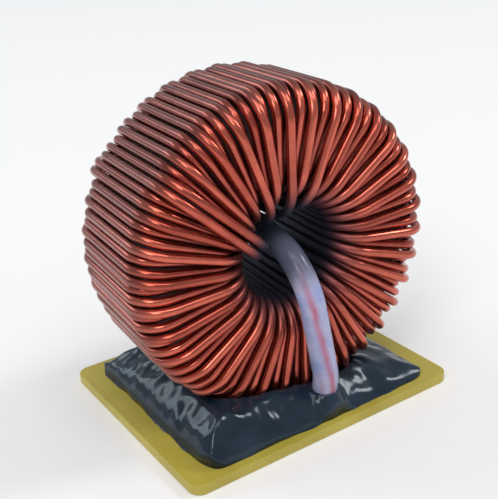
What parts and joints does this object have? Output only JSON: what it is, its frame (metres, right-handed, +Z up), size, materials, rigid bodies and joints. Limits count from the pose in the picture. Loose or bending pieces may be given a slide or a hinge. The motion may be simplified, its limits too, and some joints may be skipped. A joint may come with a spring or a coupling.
{
  "type": "toroidal inductor",
  "caption": "Toroidal power inductor: a two-strand enamelled copper winding on a ring core, set upright in adhesive on a base board, with sleeved leads ending in solder pins.",
  "frame": {"origin": "middle of the base board's underside, which is the face that rests on the circuit board", "axes": "+Z up from the board to the top of the wheel; Y along the board's short side and close to the wheel's axis; the lead that leaves the hole at the front is towards -Y"},
  "size_m": [0.0526, 0.04, 0.0563],
  "materials": {
    "board": "bare epoxy glass laminate, satin",
    "core": "dark epoxy coat",
    "strand_a": "enamelled copper, glossy",
    "strand_b": "enamelled copper, glossy",
    "sleeve": "translucent tubing",
    "adhesive": "glossy cured adhesive"
  },
  "bodies": {
    "root": {"base_board": "board", "core": "core", "strand_a": "strand_a", "strand_b": "strand_b", "sleeve_front": "sleeve", "sleeve_rear": "sleeve", "adhesive_bed": "adhesive"}
  },
  "joints": []
}
